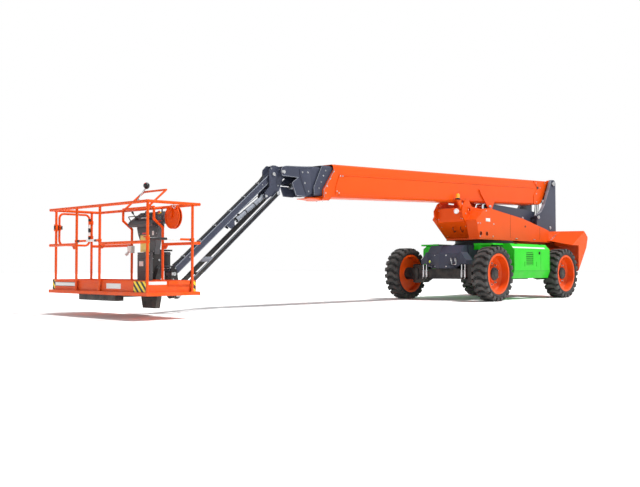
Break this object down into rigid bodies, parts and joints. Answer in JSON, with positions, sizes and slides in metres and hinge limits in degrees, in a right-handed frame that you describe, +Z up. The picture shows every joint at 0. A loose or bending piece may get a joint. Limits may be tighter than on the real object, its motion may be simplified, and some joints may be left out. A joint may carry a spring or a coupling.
{
  "type": "telescopic boom lift",
  "caption": "Self-propelled telescopic boom lift with slewing turntable, telescoping boom, articulated jib and railed work platform.",
  "frame": {"origin": "on the ground under the middle of the machine's overall length and width", "axes": "+X forward from the counterweight to the platform, +Y to the machine's left, +Z up"},
  "size_m": [12.796, 2.5, 2.8098],
  "materials": {
    "orange_paint": "satin vivid orange paint",
    "grey_paint": "satin slate grey paint",
    "green_paint": "satin bright green paint",
    "black_paint": "satin black paint",
    "iron": "orange painted cast iron",
    "steel": "machined steel",
    "chrome": "hard chromed rod",
    "tyre": "black tyre rubber",
    "console": "grey moulded housing",
    "amber": "amber lens"
  },
  "bodies": {
    "chassis": {"chassis_frame": "grey_paint", "front_axle": "black_paint", "rear_axle": "black_paint", "slewing_ring": "steel", "side_covers": "green_paint", "battery_packs": "black_paint"},
    "left_steer": {"left_knuckle": "black_paint"},
    "right_steer": {"right_knuckle": "black_paint"},
    "steering_link": {"steering_rod": "chrome"},
    "turntable": {"turntable_frame": "orange_paint", "front_cover": "orange_paint", "side_housings": "orange_paint", "counterweight": "iron", "mast": "grey_paint", "lights": "amber"},
    "lift_barrel": {"lift_cylinder_barrel": "grey_paint"},
    "lift_rod": {"lift_cylinder_rod": "chrome"},
    "boom_base": {"base_boom": "orange_paint"},
    "boom_mid": {"mid_boom": "grey_paint"},
    "boom_fly": {"fly_boom": "grey_paint"},
    "level_barrel": {"level_cylinder_barrel": "grey_paint"},
    "level_rod": {"level_cylinder_rod": "chrome"},
    "jib_knuckle": {"knuckle": "grey_paint"},
    "jib_arm": {"jib_beam": "grey_paint"},
    "jib_lower": {"jib_link": "grey_paint"},
    "jib_barrel": {"jib_cylinder_barrel": "grey_paint"},
    "jib_ram": {"jib_cylinder_rod": "chrome"},
    "support": {"platform_support": "grey_paint"},
    "platform": {"rotator_bracket": "black_paint", "platform_floor": "orange_paint", "platform_rails": "orange_paint", "control_console": "console", "cable_reel": "orange_paint"},
    "gate": {"gate": "orange_paint"},
    "front_bar": {"front_entry_bar": "grey_paint"},
    "side_bar": {"side_entry_bar": "grey_paint"},
    "wheel_front_left": {"tyre_front_left": "tyre", "rim_front_left": "orange_paint"},
    "wheel_front_right": {"tyre_front_right": "tyre", "rim_front_right": "orange_paint"},
    "wheel_rear_left": {"tyre_rear_left": "tyre", "rim_rear_left": "orange_paint"},
    "wheel_rear_right": {"tyre_rear_right": "tyre", "rim_rear_right": "orange_paint"}
  },
  "joints": [
    {"name": "slew", "type": "hinge", "parent": "chassis", "child": "turntable", "pos_m": [-3.395, 0, 1.26], "axis": [0, 0, 1], "continuous": true},
    {"name": "boom_lift", "type": "hinge", "parent": "turntable", "child": "boom_base", "pos_m": [-5.975, 0, 2.72], "axis": [0, -1, 0], "range_deg": [0, 77]},
    {"name": "lift_barrel_swing", "type": "hinge", "parent": "turntable", "child": "lift_barrel", "pos_m": [-5.215, 0, 1.87], "axis": [0, -1, 0], "range_deg": [-0.5, 77.05]},
    {"name": "lift_rod_extend", "type": "slide", "parent": "lift_barrel", "child": "lift_rod", "axis": [0.9971, 0, 0.0763], "range_m": [-0.005, 1.4245]},
    {"name": "boom_extend", "type": "slide", "parent": "boom_base", "child": "boom_mid", "axis": [0.9992, 0, -0.0401], "range_m": [0, 6.2]},
    {"name": "fly_extend", "type": "slide", "parent": "boom_mid", "child": "boom_fly", "axis": [0.9992, 0, -0.0401], "range_m": [0, 6.2]},
    {"name": "level_barrel_swing", "type": "hinge", "parent": "boom_fly", "child": "level_barrel", "pos_m": [2.245, 0, 2.055], "axis": [0, -1, 0], "range_deg": [-0.5, 12.2]},
    {"name": "level_rod_extend", "type": "slide", "parent": "level_barrel", "child": "level_rod", "axis": [0.9997, 0, -0.0253], "range_m": [-0.2447, 0.005]},
    {"name": "knuckle_level", "type": "hinge", "parent": "boom_fly", "child": "jib_knuckle", "pos_m": [2.985, 0, 2.25], "axis": [0, -1, 0], "range_deg": [-77, 0]},
    {"name": "jib_lift", "type": "hinge", "parent": "jib_knuckle", "child": "jib_arm", "pos_m": [3.135, 0, 2.2], "axis": [0, -1, 0], "range_deg": [-2, 94]},
    {"name": "jib_link_swing", "type": "hinge", "parent": "jib_knuckle", "child": "jib_lower", "pos_m": [3.075, 0, 1.89], "axis": [0, -1, 0], "range_deg": [-2, 94]},
    {"name": "jib_barrel_swing", "type": "hinge", "parent": "jib_knuckle", "child": "jib_barrel", "pos_m": [3.305, 0, 1.83], "axis": [0, -1, 0], "range_deg": [-2.61, 99.72]},
    {"name": "jib_rod_extend", "type": "slide", "parent": "jib_barrel", "child": "jib_ram", "axis": [0.8176, 0, -0.5758], "range_m": [-0.0175, 0.5917]},
    {"name": "support_level", "type": "hinge", "parent": "jib_arm", "child": "support", "pos_m": [5.135, 0, 0.58], "axis": [0, -1, 0], "range_deg": [-94, 2]},
    {"name": "platform_rotate", "type": "hinge", "parent": "support", "child": "platform", "pos_m": [5.245, 0, 0.75], "axis": [0, 0, 1], "range_deg": [-90, 90]},
    {"name": "gate_swing", "type": "hinge", "parent": "platform", "child": "gate", "pos_m": [5.715, -1.2, 1.23], "axis": [0, 0, 1], "range_deg": [0, 95]},
    {"name": "front_bar_lift", "type": "slide", "parent": "platform", "child": "front_bar", "axis": [0, 0, 1], "range_m": [0, 0.35]},
    {"name": "side_bar_lift", "type": "slide", "parent": "platform", "child": "side_bar", "axis": [0, 0, 1], "range_m": [0, 0.35]},
    {"name": "left_kingpin", "type": "hinge", "parent": "chassis", "child": "left_steer", "pos_m": [-1.945, 0.78, 0.55], "axis": [0, 0, 1], "range_deg": [-25, 25]},
    {"name": "right_kingpin", "type": "hinge", "parent": "chassis", "child": "right_steer", "pos_m": [-1.945, -0.78, 0.55], "axis": [0, 0, 1], "range_deg": [-25, 25]},
    {"name": "steering_link_slide", "type": "slide", "parent": "chassis", "child": "steering_link", "axis": [0, 1, 0], "range_m": [-0.0746, 0.0746]},
    {"name": "front_left_roll", "type": "hinge", "parent": "left_steer", "child": "wheel_front_left", "pos_m": [-1.945, 1.085, 0.55], "axis": [0, 1, 0], "continuous": true},
    {"name": "front_right_roll", "type": "hinge", "parent": "right_steer", "child": "wheel_front_right", "pos_m": [-1.945, -1.085, 0.55], "axis": [0, 1, 0], "continuous": true},
    {"name": "rear_left_roll", "type": "hinge", "parent": "chassis", "child": "wheel_rear_left", "pos_m": [-4.845, 1.085, 0.55], "axis": [0, 1, 0], "continuous": true},
    {"name": "rear_right_roll", "type": "hinge", "parent": "chassis", "child": "wheel_rear_right", "pos_m": [-4.845, -1.085, 0.55], "axis": [0, 1, 0], "continuous": true}
  ],
  "couplings": [
    {"joint": "lift_barrel_swing", "follows": "boom_lift", "ratio": 0.99414},
    {"joint": "lift_rod_extend", "follows": "boom_lift", "m_per_rad": 1.0562},
    {"joint": "knuckle_level", "follows": "boom_lift", "ratio": -1},
    {"joint": "level_barrel_swing", "follows": "boom_lift", "ratio": 0.15189},
    {"joint": "level_rod_extend", "follows": "boom_lift", "m_per_rad": -0.17837},
    {"joint": "fly_extend", "follows": "boom_extend", "ratio": 1},
    {"joint": "jib_link_swing", "follows": "jib_lift", "ratio": 1},
    {"joint": "jib_barrel_swing", "follows": "jib_lift", "ratio": 1.0555},
    {"joint": "jib_rod_extend", "follows": "jib_lift", "m_per_rad": 0.35764},
    {"joint": "support_level", "follows": "jib_lift", "ratio": -1},
    {"joint": "right_kingpin", "follows": "left_kingpin", "ratio": 1},
    {"joint": "steering_link_slide", "follows": "left_kingpin", "m_per_rad": -0.1665}
  ]
}
